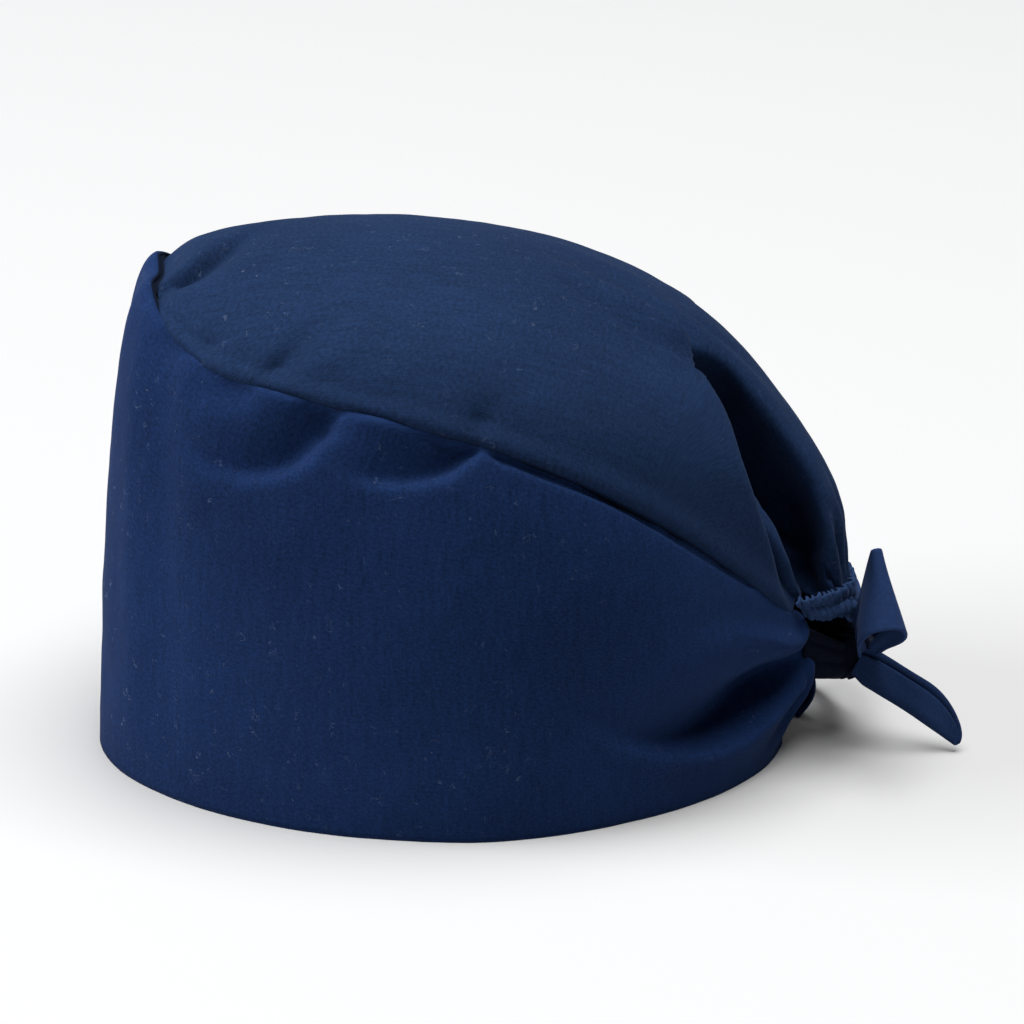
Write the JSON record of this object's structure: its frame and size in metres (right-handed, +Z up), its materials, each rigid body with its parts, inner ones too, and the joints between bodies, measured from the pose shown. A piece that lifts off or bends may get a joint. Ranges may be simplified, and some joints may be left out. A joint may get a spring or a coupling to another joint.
{
  "type": "scrub cap",
  "caption": "Soft cloth cap with a tall side band, a gathered crown over it and a bow tied at the back, standing on its rim.",
  "frame": {"origin": "centre of the head opening, in the plane of the rim the cap stands on", "axes": "+Z up through the crown, -Y towards the forehead and +Y towards the bow, +X towards the wearer's left"},
  "size_m": [0.1676, 0.2661, 0.1614],
  "materials": {
    "band_cloth": "matte plain-woven poly-cotton, navy",
    "crown_cloth": "matte plain-woven poly-cotton, navy",
    "casing_cloth": "matte plain-woven poly-cotton gathered over elastic, navy",
    "tie_cloth": "matte plain-woven poly-cotton folded and stitched, navy"
  },
  "bodies": {
    "root": {"side_band": "band_cloth", "crown_panel": "crown_cloth", "elastic_casing": "casing_cloth", "tie_knot": "tie_cloth", "tie_root_left": "tie_cloth", "tie_root_right": "tie_cloth", "bow_loop_left": "tie_cloth", "bow_loop_right": "tie_cloth", "tie_tail_left": "tie_cloth", "tie_tail_right": "tie_cloth"}
  },
  "joints": []
}
